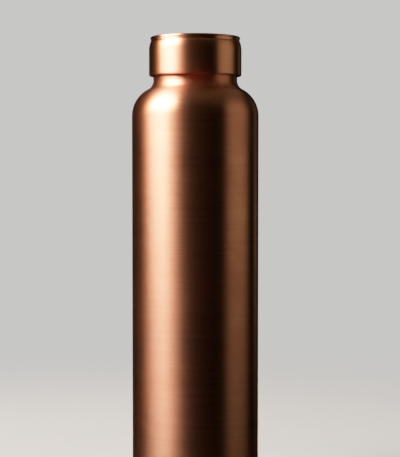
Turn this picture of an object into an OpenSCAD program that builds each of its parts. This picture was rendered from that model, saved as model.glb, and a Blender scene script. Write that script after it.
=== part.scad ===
// Copper water bottle: a spun shell with a let-in base, a threaded mouth collar
// and a two-skin screw cap with a silicone washer.
// Millimetres, +Z up, origin at the centre of the foot ring on the table.

/* [Body] */
// Outer diameter of the straight body
body_d = 72; // [66:1:80]
// Height from the table to the top of the closed cap
total_h = 270; // [230:1:300]
// Sheet thickness of the shell
shell_t = 0.5; // [0.4:0.1:1]
// Radius of the rounded shoulder
shoulder_r = 17; // [14:0.2:20]
// Radius of the hollow where the shoulder meets the neck
neck_fillet_r = 5.7; // [4:0.1:7]

/* [Base] */
// Height of the recess under the bottle
recess_h = 5.4; // [4:0.2:8]
// Width of the foot that turns in under the bottle
foot_w = 3.2; // [2.6:0.1:4]
// Outer corner radius of the foot
foot_r = 1.6; // [1.2:0.1:2]
// Sheet thickness of the base plate
base_t = 0.6; // [0.5:0.1:1]

/* [Neck] */
// Outer diameter of the smooth neck
neck_d = 47.6; // [47.4:0.1:48]
// Length of straight neck that shows under the cap
neck_show = 2.4; // [1:0.1:4]
// Diameter across the wall of the threaded collar
collar_d = 47; // [46.8:0.1:47.2]
// Wall thickness of the threaded collar
collar_t = 1.1; // [0.9:0.1:1.4]

/* [Thread] */
// Rise of the cap in one turn
lead = 4; // [3:0.5:5]
// Turns of thread on the collar and in the cap
turns = 2; // [1.5:0.25:2]
// Height of a thread ridge above its wall
ridge_h = 1; // [0.8:0.05:1.05]
// Number of straight steps in one turn of thread
thread_steps = 48; // [36:12:72]

/* [Cap] */
// Outer diameter of the cap
cap_d = 52.5; // [52.4:0.1:54]
// Height of the cap
cap_h = 22.2; // [21:0.1:24]
// Sheet thickness of the cap's outer shell
cap_t = 0.6; // [0.5:0.1:0.7]
// Radius of the cap wall where it leans in at the top
crown_lean_r = 13; // [11:0.5:16]
// Outer radius of the cap's lower hem
hem_r = 0.8; // [0.8:0.1:1.4]
// Diameter of the bead round the top of the cap
bead_d = 51; // [50.6:0.1:51.2]
// Thickness of the silicone washer
washer_t = 1.95; // [1.5:0.05:2]

/* [Hidden] */
$fn = 96;

copper = [0.72, 0.40, 0.26];
bright_copper = [0.78, 0.46, 0.32];
solder = [0.72, 0.68, 0.60];
silicone = [0.88, 0.88, 0.86];

body_r = body_d / 2;
neck_r = neck_d / 2;
cap_r = cap_d / 2;
collar_r = collar_d / 2;
bead_r = bead_d / 2;
gap = 0.05;                       // assembly clearance between neighbouring skins
skin = 0.02;                      // clearance between braze and the sheet that it wets
arc_steps = 14;                   // straight steps in a profile's arc

cap_z = total_h - cap_h;          // lower rim of the cap
bead_h = 1.2;                     // height of the crown's bead
groove_h = 1.4;                   // height of the groove under the bead
groove_depth = 0.3;               // how far the groove lies behind the bead
groove_r = bead_r - groove_depth;
shell_top_z = total_h - bead_h - groove_h;  // where the cap's shell ends under the crown
lean_h = 5;                       // height over which the cap wall leans in

skin_gap = 1;                     // from the outside of the cap's shell to the outside of its liner
liner_r = cap_r - skin_gap;       // outside of the cap's threaded liner
liner_t = 0.5;                    // sheet thickness of the liner's wall
liner_in_r = liner_r - liner_t;   // wall of the liner between its ridges
liner_corner_r = 1.6;             // outer corner radius of the liner's roof
liner_roof_t = 0.6;               // sheet thickness of the liner's roof
liner_drop = 0.7;                 // from the top of the cap's shell down to the liner's roof
liner_top_z = shell_top_z - liner_drop;
liner_roof_z = liner_top_z - liner_roof_t;  // underside of the liner's roof
washer_gap = 0.1;                 // clearance above the washer
washer_play = 0.65;               // clearance round the washer
washer_w = 4.4;                   // width of the washer's ring
washer_z = liner_roof_z - washer_gap - washer_t;
washer_r = liner_in_r - washer_play;
cap_hem_r = liner_in_r + gap;     // opening in the cap's lower hem

lip_z = washer_z - gap;           // top of the bottle's mouth
lip_r = 1;                        // radius of the rolled lip
collar_in_r = collar_r - collar_t;
neck_hidden = 2;                  // length of the shell's neck inside the closed cap
joint_z = cap_z + neck_hidden;    // where the shell's neck ends and the collar begins
spigot_h = 9;                     // length of collar inside the neck
spigot_lead = 1;                  // height of the chamfer at the spigot's end
thread_rise = 3.2;                // from the joint up to the middle of the first ridge
thread_z = joint_z + thread_rise;
ridge_base = 2.2;                 // width of a ridge at its wall
ridge_crest = 0.9;                // width of a ridge at its crest
ridge_root = 0.25;                // how deep a ridge is rooted in its wall
ridge_tail = 0.1;                 // how deep its crest has sunk into the wall where it runs out
flank_bias = 0.25;                // closed cap: its ridges bear up against the collar's
fade = 60;                        // degrees over which a ridge runs out at each end

// The shoulder's arc and the neck's hollow touch where their centres' line crosses them.
shoulder_c = body_r - shoulder_r;
hollow_c = neck_r + neck_fillet_r;
arcs_apart = shoulder_r + neck_fillet_r;
hollow_z = cap_z - neck_show;
shoulder_z = hollow_z - sqrt(pow(arcs_apart, 2) - pow(hollow_c - shoulder_c, 2));
touch_a = acos((hollow_c - shoulder_c) / arcs_apart);

foot_lip_r = body_r - foot_w;        // inner edge of the turned-in foot
shell_in_r = body_r - shell_t;
base_r = shell_in_r - gap;        // outside of the base plate's flange
base_corner_r = 1.5;              // outer corner radius of the base plate
base_top_z = recess_h + base_t;

// Points of an arc round (cx, cz) from angle a to angle b.
function arc(cx, cz, r, a, b, n = arc_steps) =
    [for (i = [0 : n]) let (t = a + (b - a) * i / n) [cx + r * cos(t), cz + r * sin(t)]];

// Rises from 0 to 1 over the first few degrees of a ridge, and falls over the last.
function run_out(a, last) = min(1, a / fade, (last - a) / fade);

// One ring of a ridge's section; side is 1 for a ridge outside a wall and -1 for one inside it.
function ridge_ring(wall_r, z, side, share) =
    let (
        root = wall_r - side * ridge_root,
        crest = wall_r + side * (ridge_h * share - ridge_tail * (1 - share))
    )
    [
        [root, z - ridge_base / 2], [crest, z - ridge_crest / 2],
        [crest, z + ridge_crest / 2], [root, z + ridge_base / 2]
    ];

// A helical ridge that starts at height z on the +X side and climbs one lead a turn.
module thread_ridge(wall_r, z, side) {
    last = 360 * turns;
    rings = ceil(turns * thread_steps);
    angles = [for (i = [0 : rings]) last * i / rings];
    sections = [for (a = angles) ridge_ring(wall_r, z + lead * a / 360, side, run_out(a, last))];
    points = [
        for (i = [0 : rings]) for (p = sections[i])
            [p[0] * cos(angles[i]), p[0] * sin(angles[i]), p[1]]
    ];
    skin = [
        for (i = [0 : rings - 1]) for (k = [0 : 3])
            let (a = 4 * i + k, b = 4 * i + (k + 1) % 4)
            each [[a, b, b + 4], [a, b + 4, a + 4]]
    ];
    end = 4 * rings;
    ends = [[3, 2, 1], [3, 1, 0], [end, end + 1, end + 2], [end, end + 2, end + 3]];
    faces = concat(skin, ends);
    polyhedron(points, side > 0 ? faces : [for (f = faces) [f[0], f[2], f[1]]]);
}

// Drawn and spun body with its turned-in foot, shoulder and plain neck.
module bottle_shell() {
    in_foot_r = foot_r - shell_t;
    outside = concat(
        [[foot_lip_r, 0]],
        arc(body_r - foot_r, foot_r, foot_r, -90, 0, 8),
        arc(shoulder_c, shoulder_z, shoulder_r, 0, touch_a),
        arc(hollow_c, hollow_z, neck_fillet_r, 180 + touch_a, 180),
        [[neck_r, joint_z]]
    );
    inside = concat(
        [[neck_r - shell_t, joint_z]],
        arc(hollow_c, hollow_z, neck_fillet_r + shell_t, 180, 180 + touch_a),
        arc(shoulder_c, shoulder_z, shoulder_r - shell_t, touch_a, 0),
        arc(body_r - foot_r, foot_r, in_foot_r, 0, -90, 8),
        [[foot_lip_r, shell_t]]
    );
    color(copper) rotate_extrude() polygon(concat(outside, inside));
}

// Pressed base: a flange that fits the wall above the foot, a flat ring and a raised middle.
module base_plate() {
    step_r = 23;      // outside of the raised middle
    step_w = 1.2;     // width of the slope up to it
    step_h = 0.8;     // height of the raised middle
    color(copper) rotate_extrude() polygon(concat(
        [[base_r - base_t, foot_r], [base_r, foot_r]],
        arc(base_r - base_corner_r, base_top_z - base_corner_r, base_corner_r, 0, 90, 8),
        [[step_r, base_top_z], [step_r - step_w, base_top_z + step_h], [0, base_top_z + step_h]],
        [[0, recess_h + step_h], [step_r - step_w, recess_h + step_h], [step_r, recess_h]],
        arc(base_r - base_corner_r, base_top_z - base_corner_r, base_corner_r - base_t, 90, 0, 8)
    ));
}

// Braze that seals the base plate's corner to the wall, inside the bottle.
module base_solder_ring() {
    corner_c = base_r - base_corner_r;
    corner_z = base_top_z - base_corner_r;
    wall_r = shell_in_r - skin;
    seat_r = base_corner_r + skin;    // follows the plate's corner
    low_a = 15;
    high_a = 68;
    color(solder) rotate_extrude() polygon(concat(
        arc(corner_c, corner_z, seat_r, low_a, high_a, 8),
        [[wall_r - 0.3, base_top_z + 0.3], [wall_r, base_top_z + 0.8]],
        [[wall_r, corner_z + seat_r * sin(low_a)]]
    ));
}

// Threaded mouth: a spigot inside the neck, a wall with the outer thread and a rolled lip.
module neck_collar() {
    spigot_r = neck_r - shell_t - gap;
    spigot_taper = 0.4;               // width of the chamfer at the spigot's end
    lip_c = collar_r - lip_r;
    lip_hem = 0.9;                    // height over which the lip runs back into the wall
    color(bright_copper) union() {
        rotate_extrude() polygon(concat(
            [[collar_in_r, joint_z - spigot_h], [spigot_r - spigot_taper, joint_z - spigot_h]],
            [[spigot_r, joint_z - spigot_h + spigot_lead], [spigot_r, joint_z + gap]],
            [[collar_r, joint_z + gap]],
            arc(lip_c, lip_z - lip_r, lip_r, 0, 180),
            [[collar_in_r, lip_z - lip_r - lip_hem]]
        ));
        thread_ridge(collar_r, thread_z, 1);
    }
}

// Braze that seals the step between the collar and the top of the neck.
module neck_solder_ring() {
    in_r = collar_r + skin;
    z = joint_z + gap / 2;
    fillet_h = 0.7;                   // height of the fillet up the collar
    color(solder) rotate_extrude()
        polygon([[in_r, z], [neck_r, z], [neck_r - 0.06, z + 0.25], [in_r, z + fillet_h]]);
}

// Outer skin of the cap: hemmed in at the bottom, straight, then leaning in to the crown.
module cap_shell() {
    lean_c = cap_r - crown_lean_r;
    lean_a = asin(lean_h / crown_lean_r);
    lean_z = shell_top_z - lean_h;
    color(copper) rotate_extrude() polygon(concat(
        [[cap_hem_r, cap_z]],
        arc(cap_r - hem_r, cap_z + hem_r, hem_r, -90, 0, 6),
        arc(lean_c, lean_z, crown_lean_r, 0, lean_a, 8),
        [[lean_c + sqrt(pow(crown_lean_r - cap_t, 2) - pow(lean_h, 2)), shell_top_z]],
        arc(lean_c, lean_z, crown_lean_r - cap_t, lean_a, 0, 8),
        arc(cap_r - hem_r, cap_z + hem_r, hem_r - cap_t, 0, -90, 4),
        [[cap_hem_r, cap_z + cap_t]]
    ));
}

// Top of the cap: a disc with a beaded rim, a groove under it and a skirt inside the shell.
module cap_crown() {
    plate_t = 0.7;                    // sheet thickness of the disc
    plate_drop = 0.5;                 // how far the disc lies below the bead
    skirt_r = cap_r - 1.7;
    skirt_t = 0.6;
    upper_r = 0.9;                    // rounding of the bead's upper edge
    bead_w = 1.3;                     // width of the bead to the start of its inner slope
    slope_w = 0.5;                    // width of that slope
    plate_z = total_h - plate_drop;
    bead_z = total_h - bead_h;
    seat_z = shell_top_z + skin;      // the crown rests on the cap's shell
    slope_r = bead_r - bead_w;
    color(copper) rotate_extrude() polygon(concat(
        [[skirt_r - skirt_t, liner_top_z + gap], [skirt_r, liner_top_z + gap]],
        [[skirt_r, seat_z], [groove_r, seat_z]],
        arc(groove_r, bead_z + groove_depth, groove_depth, -90, 0, 4),
        arc(bead_r - upper_r, total_h - upper_r, upper_r, 0, 90, 6),
        [[slope_r, total_h], [slope_r - slope_w, plate_z], [0, plate_z], [0, plate_z - plate_t]],
        [[skirt_r - skirt_t, plate_z - plate_t]]
    ));
}

// Inner cup of the cap, with the thread that runs on the collar.
module cap_thread_liner() {
    corner_c = liner_r - liner_corner_r;
    corner_z = liner_top_z - liner_corner_r;
    in_corner_r = liner_corner_r - liner_t;
    color(bright_copper) union() {
        rotate_extrude() polygon(concat(
            [[liner_in_r, cap_z + hem_r], [liner_r, cap_z + hem_r]],
            arc(corner_c, corner_z, liner_corner_r, 0, 90, 8),
            [[0, liner_top_z], [0, liner_roof_z], [corner_c, liner_roof_z]],
            arc(corner_c, liner_roof_z - in_corner_r, in_corner_r, 90, 0, 8)
        ));
        thread_ridge(liner_in_r, thread_z - lead / 2 + flank_bias, -1);
    }
}

// Flat silicone washer that the lip presses into.
module seal_ring() {
    edge = 0.25;                      // chamfer on its edges
    in_r = washer_r - washer_w;
    top = washer_z + washer_t;
    color(silicone) rotate_extrude() polygon([
        [in_r + edge, washer_z], [washer_r - edge, washer_z],
        [washer_r, washer_z + edge], [washer_r, top - edge],
        [washer_r - edge, top], [in_r + edge, top],
        [in_r, top - edge], [in_r, washer_z + edge]
    ]);
}

bottle_shell();
base_plate();
base_solder_ring();
neck_collar();
neck_solder_ring();
cap_shell();
cap_crown();
cap_thread_liner();
seal_ring();
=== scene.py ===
"""Copper water bottle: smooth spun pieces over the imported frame, brushed copper, and the studio."""

import math

import bmesh
import bpy
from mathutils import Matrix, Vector


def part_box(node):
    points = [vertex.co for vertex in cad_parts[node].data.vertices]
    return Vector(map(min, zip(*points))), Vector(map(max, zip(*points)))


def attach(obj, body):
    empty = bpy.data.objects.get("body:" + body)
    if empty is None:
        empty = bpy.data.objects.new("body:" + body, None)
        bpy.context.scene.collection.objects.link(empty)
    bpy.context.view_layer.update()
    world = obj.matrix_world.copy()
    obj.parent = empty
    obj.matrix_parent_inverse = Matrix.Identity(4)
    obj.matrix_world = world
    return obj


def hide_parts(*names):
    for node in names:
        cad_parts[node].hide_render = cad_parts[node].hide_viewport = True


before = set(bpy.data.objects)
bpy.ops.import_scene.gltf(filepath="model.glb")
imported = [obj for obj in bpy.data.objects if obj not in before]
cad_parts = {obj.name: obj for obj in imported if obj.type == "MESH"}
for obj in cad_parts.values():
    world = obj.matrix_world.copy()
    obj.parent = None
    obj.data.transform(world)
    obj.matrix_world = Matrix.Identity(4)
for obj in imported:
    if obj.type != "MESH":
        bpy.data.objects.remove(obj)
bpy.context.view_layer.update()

MM = 0.001
LATHE_STEPS = 288


# Sizes, in metres. Those that a CAD node's box holds are read from it.


def reach(node):
    """(radius, lowest height, highest height) of a round CAD node."""
    low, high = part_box(node)
    return high.x, low.z, high.z


body_r, _, joint_z = reach("bottle_shell")
base_r, _, base_peak_z = reach("base_plate")
thread_crest_r, spigot_z, lip_z = reach("neck_collar")
neck_r, _, _ = reach("neck_solder_ring")
cap_r, cap_z, cap_shell_top = reach("cap_shell")
bead_r, crown_low_z, top_z = reach("cap_crown")
liner_r, liner_low_z, liner_top_z = reach("cap_thread_liner")
washer_r, washer_z, washer_top_z = reach("seal_ring")
solder_r, solder_low_z, solder_top_z = reach("base_solder_ring")

shell_t = 0.5 * MM  # sheet of the body
shoulder_r = 17 * MM
hollow_r = 5.7 * MM  # hollow where the shoulder meets the neck
neck_show = 2.4 * MM  # straight neck under the cap
foot_r = 1.6 * MM
foot_w = 3.2 * MM

base_t = 0.6 * MM
base_corner_r = 1.5 * MM
base_rise = 0.8 * MM  # how far the base's middle is raised

collar_r = 23.5 * MM
collar_t = 1.1 * MM
lip_round = 1.0 * MM

lead = 4 * MM
turns = 2
ridge_h = 1.0 * MM
ridge_w = 3.0 * MM
fade = math.radians(60)  # angle over which a ridge runs out
thread_z = joint_z + 3.2 * MM
cap_thread_z = thread_z - lead / 2 + 0.25 * MM

cap_t = 0.6 * MM
lean_r = 13 * MM  # radius of the cap wall where it leans in
lean_h = 5 * MM
hem_r = 0.8 * MM
liner_t = 0.5 * MM
liner_corner_r = 1.6 * MM
bead_h = 1.2 * MM
groove_depth = 0.3 * MM


# Outlines: lists of (radius, height) points round a section.


def arc(cx, cz, r, start, end, steps=16):
    """Points of an arc round (cx, cz), between two angles in degrees."""
    angles = [math.radians(start + (end - start) * i / steps) for i in range(steps + 1)]
    return [(cx + r * math.cos(a), cz + r * math.sin(a)) for a in angles]


def line(a, b, step):
    """Points from a to b, no further apart than step, without b itself."""
    count = max(1, math.ceil(math.dist(a, b) / step))
    return [(a[0] + (b[0] - a[0]) * i / count, a[1] + (b[1] - a[1]) * i / count) for i in range(count)]


def eased(corners, radius, steps=5):
    """The closed outline through the corners, each rounded by up to radius."""
    points = []
    for i, here in enumerate(corners):
        before, after = Vector(corners[i - 1]), Vector(corners[(i + 1) % len(corners)])
        here = Vector(here)
        back, on = before - here, after - here
        reach_in = min(radius, back.length * 0.45, on.length * 0.45)
        if here.x < 1e-9 or reach_in < 1e-7:
            points.append(tuple(here))
            continue
        start, end = here + back.normalized() * reach_in, here + on.normalized() * reach_in
        for k in range(steps + 1):
            t = k / steps
            points.append(tuple(start * (1 - t) ** 2 + here * 2 * t * (1 - t) + end * t * t))
    return points


def smooth_step(t):
    t = min(1.0, max(0.0, t))
    return t * t * (3 - 2 * t)


def ridge(angle, z, start_z):
    """Height of a rolled thread's ridge at this angle and height, from 0 to ridge_h."""
    best = 0.0
    for turn in range(turns):
        swept = angle + math.tau * turn
        share = min(1.0, swept / fade, (math.tau * turns - swept) / fade)
        away = abs(z - start_z - lead * swept / math.tau)
        if away < ridge_w / 2:
            best = max(best, smooth_step(share) * (0.5 + 0.5 * math.cos(math.tau * away / ridge_w)))
    return ridge_h * best


# Meshes


def lathe(name, outline, body, material, replaces=(), push=None, inside=None, soft_angle=38):
    """A piece turned from a closed outline. push moves a point outwards; inside names a second material.

    Each vertex stores the distance run along the outline, for the brushing, and how far
    its corner stands out, for the wear."""
    count = len(outline)
    run = [0.0]
    for a, b in zip(outline, outline[1:]):
        run.append(run[-1] + math.dist(a, b))
    mesh = bpy.data.meshes.new(name)
    bm = bmesh.new()
    run_layer = bm.verts.layers.float.new("run")
    edge_layer = bm.verts.layers.float.new("worn")
    worn = [corner_wear(outline, i) for i in range(count)]
    rows = []
    for i, (r, z) in enumerate(outline):
        steps = 1 if r < 1e-9 else LATHE_STEPS
        row = []
        for k in range(steps):
            angle = math.tau * k / LATHE_STEPS
            radius = r + (push(angle, r, z) if push else 0.0)
            vert = bm.verts.new((radius * math.cos(angle), radius * math.sin(angle), z))
            vert[run_layer] = run[i]
            vert[edge_layer] = worn[i]
            row.append(vert)
        rows.append(row)
    for i, row in enumerate(rows):
        other = rows[(i + 1) % count]
        if len(row) == 1 and len(other) == 1:
            continue
        second = inside is not None and i >= inside[0]
        for k in range(LATHE_STEPS):
            n = (k + 1) % LATHE_STEPS
            corners = [row[k % len(row)], row[n % len(row)], other[n % len(other)], other[k % len(other)]]
            face = bm.faces.new(list(dict.fromkeys(corners)))
            face.smooth = True
            face.material_index = 1 if second else 0
    bmesh.ops.recalc_face_normals(bm, faces=bm.faces)
    limit = math.radians(soft_angle)
    for edge in bm.edges:
        edge.smooth = edge.calc_face_angle(0.0) < limit
    bm.to_mesh(mesh)
    bm.free()
    piece = bpy.data.objects.new(name, mesh)
    bpy.context.scene.collection.objects.link(piece)
    mesh.materials.append(material)
    if inside is not None:
        mesh.materials.append(inside[1])
    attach(piece, body)
    if replaces:
        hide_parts(*replaces)
    return piece


def corner_wear(outline, i):
    """1 at a tight outward corner of the outline, 0 on flat stretches and in hollows."""
    a, b, c = outline[i - 1], outline[i], outline[(i + 1) % len(outline)]
    into, out = Vector((b[0] - a[0], b[1] - a[1])), Vector((c[0] - b[0], c[1] - b[1]))
    if into.length < 1e-9 or out.length < 1e-9:
        return 0.0
    turn = into.x * out.y - into.y * out.x
    bend = math.asin(max(-1.0, min(1.0, turn / (into.length * out.length))))
    radius = (into.length + out.length) / 2 / max(1e-6, bend)
    return smooth_step((2.2 * MM - radius) / (2.0 * MM)) if bend > 0.01 else 0.0


# Materials


class Nodes:
    """Short calls for building one material's nodes."""

    def __init__(self, name):
        self.material = bpy.data.materials.new(name)
        self.material.use_nodes = True
        self.tree = self.material.node_tree
        self.shader = self.tree.nodes["Principled BSDF"]
        self.output = self.tree.nodes["Material Output"]

    def add(self, kind, links=None, **settings):
        node = self.tree.nodes.new(kind)
        for key, value in settings.items():
            setattr(node, key, value)
        for key, value in (links or {}).items():
            self.put(value, node.inputs[key])
        return node

    def put(self, value, socket):
        if isinstance(value, bpy.types.NodeSocket):
            self.tree.links.new(value, socket)
        else:
            socket.default_value = value

    def math(self, operation, a, b=0.0, clamp=False):
        return self.add("ShaderNodeMath", {0: a, 1: b}, operation=operation, use_clamp=clamp).outputs[0]

    def place(self):
        return self.add("ShaderNodeTexCoord").outputs["Object"]

    def stored(self, name):
        return self.add("ShaderNodeAttribute", attribute_name=name).outputs["Fac"]

    def noise(self, vector, scale, detail=3.0, rough=0.5):
        links = {"Vector": vector, "Scale": scale, "Detail": detail, "Roughness": rough}
        return self.add("ShaderNodeTexNoise", links).outputs["Fac"]

    def ramp(self, value, low, high, to_low=0.0, to_high=1.0):
        links = {0: value, 1: low, 2: high, 3: to_low, 4: to_high}
        return self.add("ShaderNodeMapRange", links, interpolation_type="SMOOTHSTEP").outputs[0]

    def mix(self, share, a, b):
        node = self.add("ShaderNodeMix", data_type="RGBA")
        self.put(share, node.inputs["Factor"])
        self.put(a, node.inputs["A"])
        self.put(b, node.inputs["B"])
        return node.outputs["Result"]

    def turned(self, along, across):
        """Coordinates for marks that run round the axis: long round it, fine across the outline."""
        split = self.add("ShaderNodeSeparateXYZ", {0: self.place()})
        links = {
            0: self.math("MULTIPLY", split.outputs[0], along),
            1: self.math("MULTIPLY", split.outputs[1], along),
            2: self.math("MULTIPLY", self.stored("run"), across),
        }
        return self.add("ShaderNodeCombineXYZ", links).outputs[0]

    def bump(self, height, strength, distance, normal=None):
        links = {"Height": height, "Strength": strength, "Distance": distance}
        if normal is not None:
            links["Normal"] = normal
        return self.add("ShaderNodeBump", links).outputs["Normal"]


def colour(r, g, b):
    return (r, g, b, 1.0)


def brushed_copper(name, base, dark, pale, rough, stretch, brush=1.0, stain=0.35, painted_shade_and_rough_from=None):
    """Copper brushed round the axis, with tone drift, faint tarnish and worn corners.

    Above the neck height that is passed in, the copper is rougher and its colour is darkened towards the
    cap: painted shade beneath the cap's overhang."""
    n = Nodes(name)
    fine = n.noise(n.turned(45, 5200), 1.0, 3.0, 0.6)
    broad = n.noise(n.turned(18, 1100), 1.0, 4.0, 0.65)
    bands = n.noise(n.turned(14, 420), 1.0, 2.0, 0.5)
    drift = n.noise(n.place(), 26.0, 4.0, 0.55)
    blotch = n.noise(n.place(), 95.0, 5.0, 0.6)
    worn = n.stored("worn")

    tone = n.mix(n.ramp(drift, 0.35, 0.68), colour(*base), colour(*dark))
    tone = n.mix(n.math("MULTIPLY", n.ramp(broad, 0.42, 0.66), 0.6 * brush), tone, colour(*dark))
    tone = n.mix(n.math("MULTIPLY", n.ramp(fine, 0.5, 0.74), 0.4 * brush), tone, colour(*pale))
    tarnish = n.math("MULTIPLY", n.ramp(blotch, 0.58, 0.8), stain)
    tone = n.mix(tarnish, tone, colour(dark[0] * 0.8, dark[1] * 0.66, dark[2] * 0.6))
    # Painted shade: from the neck height upwards the colour darkens towards the cap, standing in for the
    # shade beneath the cap's overhang.
    if painted_shade_and_rough_from is not None:
        height = n.add("ShaderNodeSeparateXYZ", {0: n.place()}).outputs[2]
        painted_shade_and_rough = n.ramp(height, painted_shade_and_rough_from, painted_shade_and_rough_from + 3 * MM, 0.0, 0.5)
        tone = n.mix(painted_shade_and_rough, tone, colour(dark[0] * 0.8, dark[1] * 0.66, dark[2] * 0.6))
    rubbed = n.math("MULTIPLY", worn, n.ramp(blotch, 0.3, 0.55, 0.35, 1.0))
    tone = n.mix(n.math("MULTIPLY", rubbed, 0.6), tone, colour(*pale))
    n.put(tone, n.shader.inputs["Base Color"])

    grain = n.math("ADD", n.math("SUBTRACT", fine, 0.5), n.math("SUBTRACT", broad, 0.5))
    grain = n.math("ADD", n.math("MULTIPLY", grain, 0.14 * brush), n.math("MULTIPLY", bands, 0.05 * brush))
    roughness = n.math("ADD", grain, n.ramp(drift, 0.3, 0.75, rough - 0.04, rough + 0.02))
    roughness = n.math("ADD", roughness, n.math("MULTIPLY", tarnish, 0.08))
    # The same band beneath the cap is also rougher.
    if painted_shade_and_rough_from is not None:
        roughness = n.math("ADD", roughness, n.math("MULTIPLY", painted_shade_and_rough, 0.16))
    roughness = n.math("SUBTRACT", roughness, n.math("MULTIPLY", rubbed, 0.08), clamp=True)
    n.put(roughness, n.shader.inputs["Roughness"])

    n.put(1.0, n.shader.inputs["Metallic"])
    n.put(stretch, n.shader.inputs["Anisotropic"])
    n.put(0.25, n.shader.inputs["Anisotropic Rotation"])
    tangent = n.add("ShaderNodeTangent", direction_type="RADIAL", axis="Z").outputs[0]
    n.put(tangent, n.shader.inputs["Tangent"])

    waves = n.bump(drift, 0.05, 0.4 * MM)
    scratches = n.math("ADD", n.math("MULTIPLY", fine, 0.6), broad)
    n.put(n.bump(scratches, 0.12 * brush, 0.03 * MM, waves), n.shader.inputs["Normal"])
    return n.material


def raw_copper(name):
    """The unpolished inside: duller and pinker, with water marks."""
    n = Nodes(name)
    cloud = n.noise(n.place(), 38.0, 6.0, 0.62)
    specks = n.noise(n.place(), 420.0, 3.0, 0.6)
    rings = n.noise(n.turned(9, 420), 1.0, 3.0, 0.55)
    tone = n.mix(n.ramp(cloud, 0.34, 0.66), colour(0.62, 0.29, 0.18), colour(0.36, 0.15, 0.09))
    tone = n.mix(n.math("MULTIPLY", n.ramp(specks, 0.6, 0.78), 0.5), tone, colour(0.22, 0.1, 0.07))
    n.put(tone, n.shader.inputs["Base Color"])
    n.put(n.ramp(cloud, 0.3, 0.7, 0.42, 0.58), n.shader.inputs["Roughness"])
    n.put(1.0, n.shader.inputs["Metallic"])
    n.put(n.bump(rings, 0.3, 0.06 * MM), n.shader.inputs["Normal"])
    return n.material


def braze(name):
    """Grey-gold braze metal that has flowed and dulled."""
    n = Nodes(name)
    flow = n.noise(n.place(), 160.0, 4.0, 0.6)
    pits = n.noise(n.place(), 900.0, 3.0, 0.5)
    tone = n.mix(n.ramp(flow, 0.35, 0.65), colour(0.62, 0.53, 0.4), colour(0.34, 0.26, 0.19))
    n.put(tone, n.shader.inputs["Base Color"])
    n.put(n.ramp(flow, 0.3, 0.7, 0.34, 0.55), n.shader.inputs["Roughness"])
    n.put(1.0, n.shader.inputs["Metallic"])
    n.put(n.bump(pits, 0.35, 0.05 * MM, n.bump(flow, 0.5, 0.2 * MM)), n.shader.inputs["Normal"])
    return n.material


def silicone(name):
    """Soft white silicone with a fine matt moulding and faint dust."""
    n = Nodes(name)
    cloud = n.noise(n.place(), 120.0, 4.0, 0.6)
    grain = n.noise(n.place(), 5200.0, 2.0, 0.5)
    rings = n.noise(n.turned(30, 2600), 1.0, 2.0, 0.5)
    tone = n.mix(n.ramp(cloud, 0.35, 0.7), colour(0.8, 0.79, 0.75), colour(0.7, 0.68, 0.62))
    n.put(tone, n.shader.inputs["Base Color"])
    n.put(n.ramp(cloud, 0.3, 0.7, 0.42, 0.54), n.shader.inputs["Roughness"])
    n.put(0.25, n.shader.inputs["Subsurface Weight"])
    n.put(0.002, n.shader.inputs["Subsurface Scale"])
    marks = n.bump(rings, 0.15, 0.03 * MM)
    n.put(n.bump(grain, 0.12, 0.02 * MM, marks), n.shader.inputs["Normal"])
    return n.material


base_tone, dark_tone, pale_tone = (0.86, 0.4, 0.26), (0.74, 0.3, 0.19), (0.94, 0.54, 0.4)
neck_z = cap_z - 7 * MM  # where the shoulder turns up into the neck
body_copper = brushed_copper("body_copper", base_tone, dark_tone, pale_tone, 0.345, 0.87, painted_shade_and_rough_from=neck_z)
cap_copper = brushed_copper("cap_copper", base_tone, dark_tone, pale_tone, 0.345, 0.88, brush=0.8)
base_copper = brushed_copper("base_copper", base_tone, dark_tone, pale_tone, 0.38, 0.55, stain=0.6)
bright_tone = (0.9, 0.48, 0.33)
collar_copper = brushed_copper("collar_copper", bright_tone, base_tone, pale_tone, 0.24, 0.3, brush=0.5)
inner_copper = raw_copper("inner_copper")
solder_metal = braze("solder_metal")
washer_silicone = silicone("washer_silicone")


# Pieces


def bottle_shell():
    """Drawn body with its turned-in foot, shoulder and neck. The inside keeps its raw skin."""
    shoulder_c = body_r - shoulder_r
    hollow_c = neck_r + hollow_r
    hollow_z = cap_z - neck_show
    span = shoulder_r + hollow_r
    shoulder_z = hollow_z - math.sqrt(span**2 - (hollow_c - shoulder_c) ** 2)
    touch = math.degrees(math.acos((hollow_c - shoulder_c) / span))
    inner_foot_r = foot_r - shell_t
    foot_in_r = body_r - foot_w
    wall_step = 6 * MM
    outside = [(foot_in_r, shell_t * 0.5)]
    outside += [(foot_in_r + 0.15 * MM, 0.0)]
    outside += line((foot_in_r + 0.3 * MM, 0.0), (body_r - foot_r, 0.0), 0.5 * MM)
    outside += arc(body_r - foot_r, foot_r, foot_r, -90, 0, 12)[:-1]
    outside += line((body_r, foot_r), (body_r, shoulder_z), wall_step)
    outside += arc(shoulder_c, shoulder_z, shoulder_r, 0, touch, 40)[:-1]
    outside += arc(hollow_c, hollow_z, hollow_r, 180 + touch, 180, 24)
    outside += [(neck_r, joint_z - 0.15 * MM), (neck_r - 0.15 * MM, joint_z)]
    inside = [(neck_r - shell_t, joint_z)]
    inside += arc(hollow_c, hollow_z, hollow_r + shell_t, 180, 180 + touch, 16)[:-1]
    inside += arc(shoulder_c, shoulder_z, shoulder_r - shell_t, touch, 0, 24)
    inside += line((body_r - shell_t, shoulder_z - wall_step), (body_r - shell_t, foot_r), wall_step)
    inside += arc(body_r - foot_r, foot_r, inner_foot_r, 0, -90, 8)
    inside += [(foot_in_r + 0.1 * MM, shell_t)]
    lathe(
        "body_shell", outside + inside, "bottle", body_copper,
        ["bottle_shell"], inside=(len(outside), inner_copper),
    )


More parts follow.
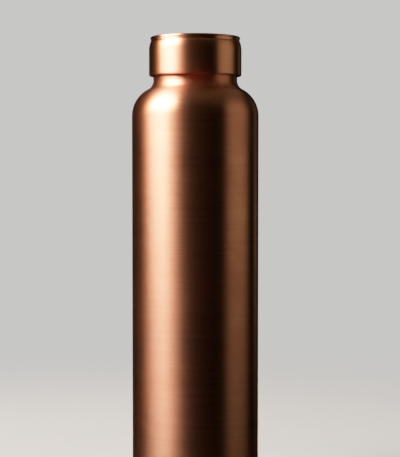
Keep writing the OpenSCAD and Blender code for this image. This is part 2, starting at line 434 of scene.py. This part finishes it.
def base_plate():
    """Pressed base: flange, flat ring, raised middle and two rolled stiffening rings."""
    low, high = foot_r, base_peak_z - base_rise
    step_r, step_w = 23 * MM, 1.2 * MM
    bead_at = [29 * MM, 12 * MM]

    def rings(r, z):
        return sum(0.22 * MM * math.exp(-(((r - at) / (0.9 * MM)) ** 2)) for at in bead_at)

    def floor(z):
        corner = base_r - base_corner_r
        points = line((corner, z), (step_r, z), 0.35 * MM)
        slope = (0, 0.2, 0.4, 0.6, 0.8, 1)
        points += [(step_r - step_w * t, z + base_rise * smooth_step(t)) for t in slope]
        points += line((step_r - step_w - 0.3 * MM, z + base_rise), (0.0, z + base_rise), 0.35 * MM)
        points += [(0.0, z + base_rise)]
        return [(r, height - rings(r, height)) for r, height in points]

    corner_c, corner_z = base_r - base_corner_r, high - base_corner_r
    top = arc(corner_c, corner_z, base_corner_r, 0, 90, 10)[:-1] + floor(high)
    under = floor(high - base_t)[::-1] + arc(corner_c, corner_z, base_corner_r - base_t, 90, 0, 10)[1:]
    outline = [(base_r - base_t, low + 0.1 * MM), (base_r - base_t / 2, low), (base_r, low + 0.1 * MM)]
    lathe("base_dish", outline + top + under, "bottle", base_copper, ["base_plate"])


def base_solder_ring():
    """Fillet of braze inside the base's corner, with an uneven edge."""
    corner_c, corner_z = base_r - base_corner_r, base_peak_z - base_rise - base_corner_r
    seat = arc(corner_c, corner_z, base_corner_r + 0.03 * MM, 15, 68, 10)
    wall_r, top = solder_r, solder_top_z
    hollow = arc(wall_r - 1.25 * MM, top + 0.35 * MM, 1.3 * MM, -115, -15, 10)
    hollow = [(min(r, wall_r), max(z, seat[-1][1])) for r, z in hollow]

    def flow(angle, r, z):
        ripple = -0.06 * MM * (1 + math.sin(7 * angle) * math.sin(11 * angle + 1))
        return ripple if r < wall_r - 0.1 * MM else 0.0

    outline = seat + hollow + [(wall_r, solder_low_z + 0.05 * MM)]
    lathe("base_braze", outline, "bottle", solder_metal, ["base_solder_ring"], flow)


def neck_collar():
    """Mouth collar: spigot, wall with a rolled thread that shows inside too, and rolled lip."""
    in_r = collar_r - collar_t
    seat_r = neck_r - shell_t - 0.05 * MM
    lip_c = collar_r - lip_round
    outline = [(in_r + 0.1 * MM, spigot_z), (seat_r - 0.45 * MM, spigot_z), (seat_r, spigot_z + 1 * MM)]
    outline += line((seat_r, spigot_z + 1.6 * MM), (seat_r, joint_z + 0.05 * MM), 1.5 * MM)
    outline += [(seat_r, joint_z + 0.05 * MM), (collar_r - 0.1 * MM, joint_z + 0.05 * MM)]
    outline += line((collar_r, joint_z + 0.15 * MM), (collar_r, lip_z - lip_round), 0.16 * MM)
    outline += arc(lip_c, lip_z - lip_round, lip_round, 0, 180, 20)
    outline += [(in_r - 0.3 * MM, lip_z - lip_round - 0.5 * MM), (in_r, lip_z - lip_round - 0.95 * MM)]
    outline += line((in_r, lip_z - lip_round - 1.1 * MM), (in_r, spigot_z + 0.1 * MM), 0.16 * MM)

    def thread(angle, r, z):
        on_wall = abs(r - collar_r) < 0.01 * MM or abs(r - in_r) < 0.01 * MM
        return ridge(angle, z, thread_z) * (1.0 if r > in_r + 0.05 * MM else 0.85) if on_wall else 0.0

    lathe("mouth_collar", outline, "bottle", collar_copper, ["neck_collar"], thread)


def neck_solder_ring():
    """Small fillet of braze on the step between the neck's end and the collar."""
    _, low, high = reach("neck_solder_ring")
    in_r = collar_r + 0.02 * MM
    outline = [(in_r, low), (neck_r - 0.02 * MM, low), (neck_r - 0.05 * MM, low + 0.12 * MM)]
    outline += [(neck_r - 0.16 * MM, low + 0.3 * MM), (in_r + 0.03 * MM, high - 0.08 * MM), (in_r, high)]

    def flow(angle, r, z):
        return -0.03 * MM * (1 + math.sin(9 * angle)) if r > in_r + 0.05 * MM else 0.0

    lathe("neck_braze", outline, "bottle", solder_metal, ["neck_solder_ring"], flow)


def cap_shell():
    """Outer skin of the cap: rolled hem, straight band and a wall that leans in to the crown."""
    lean_c = cap_r - lean_r
    lean_a = math.degrees(math.asin(lean_h / lean_r))
    lean_z = cap_shell_top - lean_h
    hem_in_r = liner_r - liner_t + 0.05 * MM
    top_r = lean_c + lean_r * math.cos(math.radians(lean_a))
    lip = 0.5 * MM
    outline = arc(cap_r - hem_r, cap_z + hem_r, hem_r, -90, 0, 16)[:-1]
    outline += line((cap_r, cap_z + hem_r), (cap_r, lean_z), 2 * MM)
    outline += [p for p in arc(lean_c, lean_z, lean_r, 0, lean_a, 24) if p[1] < cap_shell_top - lip]
    outline += arc(top_r - lip + 0.06 * MM, cap_shell_top - lip, lip, 12, 90, 8)
    inner = lean_c + math.sqrt((lean_r - cap_t) ** 2 - lean_h**2)
    outline += [(inner, cap_shell_top)]
    outline += arc(lean_c, lean_z, lean_r - cap_t, lean_a, 0, 12)[1:]
    outline += line((cap_r - cap_t, lean_z - MM), (cap_r - cap_t, cap_z + hem_r), 2 * MM)
    outline += arc(cap_r - hem_r, cap_z + hem_r, hem_r - cap_t, 0, -90, 6)
    outline += [(hem_in_r, cap_z + cap_t), (hem_in_r, cap_z + 0.1 * MM), (hem_in_r + 0.04 * MM, cap_z)]
    lathe("cap_band", outline, "cap", cap_copper, ["cap_shell"])


def cap_crown():
    """Cap top: beaded rim over a groove, and a disc that sits a little lower inside the bead."""
    skirt_r, skirt_t, plate_t = cap_r - 1.7 * MM, 0.6 * MM, 0.7 * MM
    plate_z = top_z - 0.5 * MM
    bead_z = top_z - bead_h
    groove_r = bead_r - groove_depth
    upper_r = 0.9 * MM
    seat_z = cap_shell_top + 0.02 * MM
    outline = [(skirt_r - skirt_t, crown_low_z), (skirt_r, crown_low_z), (skirt_r, seat_z)]
    outline += [(groove_r, seat_z)]
    outline += arc(groove_r, bead_z + groove_depth, groove_depth, -90, 0, 8)
    outline += arc(bead_r - upper_r, top_z - upper_r, upper_r, 0, 90, 14)[1:]
    well = bead_r - 1.4 * MM
    outline += [(well + 0.35 * MM, top_z - 0.02 * MM), (well + 0.1 * MM, top_z - 0.12 * MM)]
    outline += [(well - 0.15 * MM, plate_z + 0.14 * MM), (well - 0.35 * MM, plate_z + 0.02 * MM)]
    outline += line((well - 0.6 * MM, plate_z), (0.0, plate_z), 0.4 * MM) + [(0.0, plate_z)]
    outline += [(0.0, plate_z - plate_t)]
    outline += line((0.5 * MM, plate_z - plate_t), (skirt_r - skirt_t, plate_z - plate_t), 3 * MM)
    outline += [(skirt_r - skirt_t, plate_z - plate_t)]
    lathe("cap_top", outline, "cap", cap_copper, ["cap_crown"])


def cap_thread_liner():
    """Inner cup of the cap with its rolled thread."""
    in_r = liner_r - liner_t
    corner_c, corner_z = liner_r - liner_corner_r, liner_top_z - liner_corner_r
    in_corner = liner_corner_r - liner_t
    roof_z = liner_top_z - 0.6 * MM
    outline = line((liner_r, liner_low_z), (liner_r, corner_z), 1.2 * MM)
    outline += arc(corner_c, corner_z, liner_corner_r, 0, 90, 10)
    outline += line((corner_c - MM, liner_top_z), (0.0, liner_top_z), 4 * MM) + [(0.0, liner_top_z)]
    outline += [(0.0, roof_z)] + line((0.5 * MM, roof_z), (corner_c, roof_z), 0.6 * MM)
    outline += arc(corner_c, roof_z - in_corner, in_corner, 90, 0, 8)
    outline += line((in_r, roof_z - in_corner - 0.1 * MM), (in_r, liner_low_z), 0.16 * MM)
    outline += [(in_r, liner_low_z)]

    def thread(angle, r, z):
        return -ridge(angle, z, cap_thread_z) if abs(r - in_r) < 0.01 * MM else 0.0

    lathe("cap_liner", outline, "cap", collar_copper, ["cap_thread_liner"], thread)


def seal_ring():
    """Silicone washer with softened edges and the dent that the lip leaves."""
    inner_r = washer_r - 4.4 * MM
    mid = collar_r - lip_round

    def dent(r):
        return 0.12 * MM * math.exp(-(((r - mid) / (0.7 * MM)) ** 2))

    corners = [(inner_r, washer_z), (washer_r, washer_z), (washer_r, washer_top_z), (inner_r, washer_top_z)]
    rounded = eased(corners, 0.3 * MM, 6)
    split = next(i for i, p in enumerate(rounded) if p[0] > (inner_r + washer_r) / 2)
    left, right = rounded[split - 1], rounded[split]
    bottom = [(r, z + dent(r)) for r, z in line(left, right, 0.12 * MM)[1:]]
    outline = rounded[:split] + bottom + rounded[split:]
    lathe("seal_washer", outline, "seal", washer_silicone, ["seal_ring"])


for make in (
    bottle_shell, base_plate, base_solder_ring, neck_collar, neck_solder_ring,
    cap_shell, cap_crown, cap_thread_liner, seal_ring,
):
    make()


# Studio: pale floor, soft panels of light round the bottle, and the camera near shoulder height.


PALE = (0.84, 0.835, 0.81, 1.0)  # what the camera sees round the bottle


def floor_paper():
    """Pale matt paper that takes the bottle's shadow, and melts into the surroundings further out.

    Reflections see it dark, so that the bottle keeps its dark middle."""
    n = Nodes("floor_paper")
    grain = n.noise(n.place(), 3.0, 3.0, 0.5)
    paper = n.mix(n.ramp(grain, 0.3, 0.7), colour(0.33, 0.34, 0.345), colour(0.315, 0.325, 0.33))
    seen = n.add("ShaderNodeLightPath").outputs["Is Camera Ray"]
    n.put(n.mix(seen, colour(0.001, 0.001, 0.001), paper), n.shader.inputs["Base Color"])
    n.put(0.95, n.shader.inputs["Roughness"])
    n.put(0.0, n.shader.inputs["Specular IOR Level"])
    n.put(paper, n.shader.inputs["Emission Color"])
    n.put(n.math("MULTIPLY", seen, 1.3), n.shader.inputs["Emission Strength"])
    away = n.add("ShaderNodeVectorMath", {0: n.place()}, operation="LENGTH").outputs["Value"]
    haze = n.add("ShaderNodeEmission", {"Color": PALE, "Strength": seen})
    links = {0: n.ramp(away, 0.25, 0.72), 1: n.shader.outputs[0], 2: haze.outputs[0]}
    blend = n.add("ShaderNodeMixShader", links)
    n.tree.links.new(blend.outputs[0], n.output.inputs["Surface"])
    return n.material


LIGHT_AIM_Z = 0.2  # height that the panels' elevations are measured from


def floor():
    mesh = bpy.data.meshes.new("floor")
    bm = bmesh.new()
    bmesh.ops.create_circle(bm, cap_ends=True, segments=96, radius=12.0)
    bm.to_mesh(mesh)
    bm.free()
    piece = bpy.data.objects.new("floor", mesh)
    bpy.context.scene.collection.objects.link(piece)
    mesh.materials.append(floor_paper())


def surroundings():
    """Pale behind the bottle for the camera. For reflections it is dark, and dim overhead."""
    world = bpy.data.worlds.new("surroundings")
    world.use_nodes = True
    tree = world.node_tree

    def blend(share, a, b):
        node = tree.nodes.new("ShaderNodeMix")
        node.data_type = "RGBA"
        tree.links.new(share, node.inputs["Factor"])
        for value, key in ((a, "A"), (b, "B")):
            if isinstance(value, bpy.types.NodeSocket):
                tree.links.new(value, node.inputs[key])
            else:
                node.inputs[key].default_value = value
        return node.outputs["Result"]

    direction = tree.nodes.new("ShaderNodeTexCoord").outputs["Generated"]
    split = tree.nodes.new("ShaderNodeSeparateXYZ")
    tree.links.new(direction, split.inputs[0])
    rise = tree.nodes.new("ShaderNodeMapRange")
    rise.inputs["From Min"].default_value = 0.45
    rise.inputs["From Max"].default_value = 1.0
    tree.links.new(split.outputs["Z"], rise.inputs["Value"])
    dim = blend(rise.outputs[0], colour(0.0015, 0.0015, 0.0015), colour(0.11, 0.085, 0.05))
    camera_ray = tree.nodes.new("ShaderNodeLightPath").outputs["Is Camera Ray"]
    seen = blend(camera_ray, dim, PALE)
    tree.links.new(seen, tree.nodes["Background"].inputs["Color"])
    bpy.context.scene.world = world


def softbox(name, azimuths, elevations, power, tint, edges, lean=0.0, distance=0.75):
    """An upright glowing panel, out of the camera's sight, that faces the bottle's axis.

    azimuths are the directions of its two sides, in degrees to the right of the camera, and
    elevations those of its bottom and top, all as seen from the bottle's axis at LIGHT_AIM_Z.
    power is how strongly it glows in the middle. edges are the shares of its half-width, on
    the left and right, and of its half-height over which it fades. lean is the share of its
    half-width by which its top stands to the right. distance is how far it stands off."""
    turn = math.radians(sum(azimuths) / 2)
    w = distance * math.tan(math.radians(azimuths[1] - azimuths[0]) / 2)
    low, high = (distance * math.tan(math.radians(e)) for e in elevations)
    h = (high - low) / 2

    n = Nodes(name)
    across = n.add("ShaderNodeSeparateXYZ", {0: n.place()})
    v = n.math("DIVIDE", across.outputs[2], h)
    u = n.math("SUBTRACT", n.math("DIVIDE", across.outputs[0], w), n.math("MULTIPLY", v, lean))
    v = n.math("ABSOLUTE", v)
    left = n.ramp(u, -1.0, -1.0 + edges[0])
    right = n.ramp(u, 1.0 - edges[1], 1.0, 1.0, 0.0)
    upright = n.ramp(v, 1.0 - edges[2], 1.0, 1.0, 0.0)
    fall = n.math("MULTIPLY", n.math("MULTIPLY", left, right), upright)
    strength = n.math("MULTIPLY", fall, power)
    glow = n.add("ShaderNodeEmission", {"Color": colour(*tint), "Strength": strength})
    n.tree.links.new(glow.outputs[0], n.output.inputs["Surface"])

    mesh = bpy.data.meshes.new(name)
    shift = lean * w
    corners = [(-w - shift, 0, -h), (w - shift, 0, -h), (w + shift, 0, h), (-w + shift, 0, h)]
    mesh.from_pydata(corners, [], [(0, 1, 2, 3)])
    mesh.materials.append(n.material)
    panel = bpy.data.objects.new(name, mesh)
    bpy.context.scene.collection.objects.link(panel)
    away = Vector((math.sin(turn), -math.cos(turn), 0.0)) * distance
    panel.location = away + Vector((0, 0, LIGHT_AIM_Z + (low + high) / 2))
    panel.rotation_euler = (0, 0, turn)
    panel.visible_camera = False
    panel.visible_shadow = False


def camera():
    """Level with the shoulder, a little to the bottle's right, looking slightly down."""
    distance, height = 0.7682, 0.19745
    data = bpy.data.cameras.new("camera")
    data.lens = 105.95
    data.clip_start, data.clip_end = 0.05, 60
    cam = bpy.data.objects.new("camera", data)
    bpy.context.scene.collection.objects.link(cam)
    cam.location = (0.0, -distance, height)
    cam.rotation_euler = (math.radians(90 - 2.7), 0, math.radians(-0.2))
    bpy.context.scene.camera = cam


def tone_curve():
    """A camera's response: tones bend over softly towards white instead of clipping."""
    white = 5.0
    view = bpy.context.scene.view_settings
    view.view_transform = "Standard"
    view.look = "None"
    view.use_curve_mapping = True
    view.curve_mapping.white_level = (white, white, white)
    curve = view.curve_mapping.curves[3]
    for i in range(1, 16):
        x = (i / 16) ** 2
        curve.points.new(x, (1 - math.exp(-white * x)) / (1 - math.exp(-white)))
    view.curve_mapping.update()


floor()
surroundings()
softbox("key_wide", (-104.5, -37), (13, 54), 10.5, (1.0, 0.58, 0.18), (0.2, 0.25, 0.5), 0.42)
softbox("key_core", (-95.5, -43.4), (14.5, 54), 50.0, (1.0, 0.86, 0.79), (0.42, 0.42, 0.5), 0.47, 0.74)
softbox("fill", (51, 117), (-15, 38), 0.58, (1.0, 0.82, 0.55), (0.65, 0.87, 0.5))
softbox("left_edge", (-160, -117), (-10, 40), 0.001, (1.0, 0.8, 0.4), (0.5, 0.3, 0.4))
softbox("right_edge", (131, 149), (-65, 35), 0.1, (1.0, 0.8, 0.5), (0.4, 0.4, 0.5))
softbox("centre_glow", (-30, 36), (-20, 50), 0.011, (1.0, 0.55, 0.15), (0.4, 0.7, 0.4))
softbox("rim_glow", (125, 235), (28, 62), 0.16, (1.0, 0.75, 0.55), (0.3, 0.3, 0.4))
camera()
tone_curve()
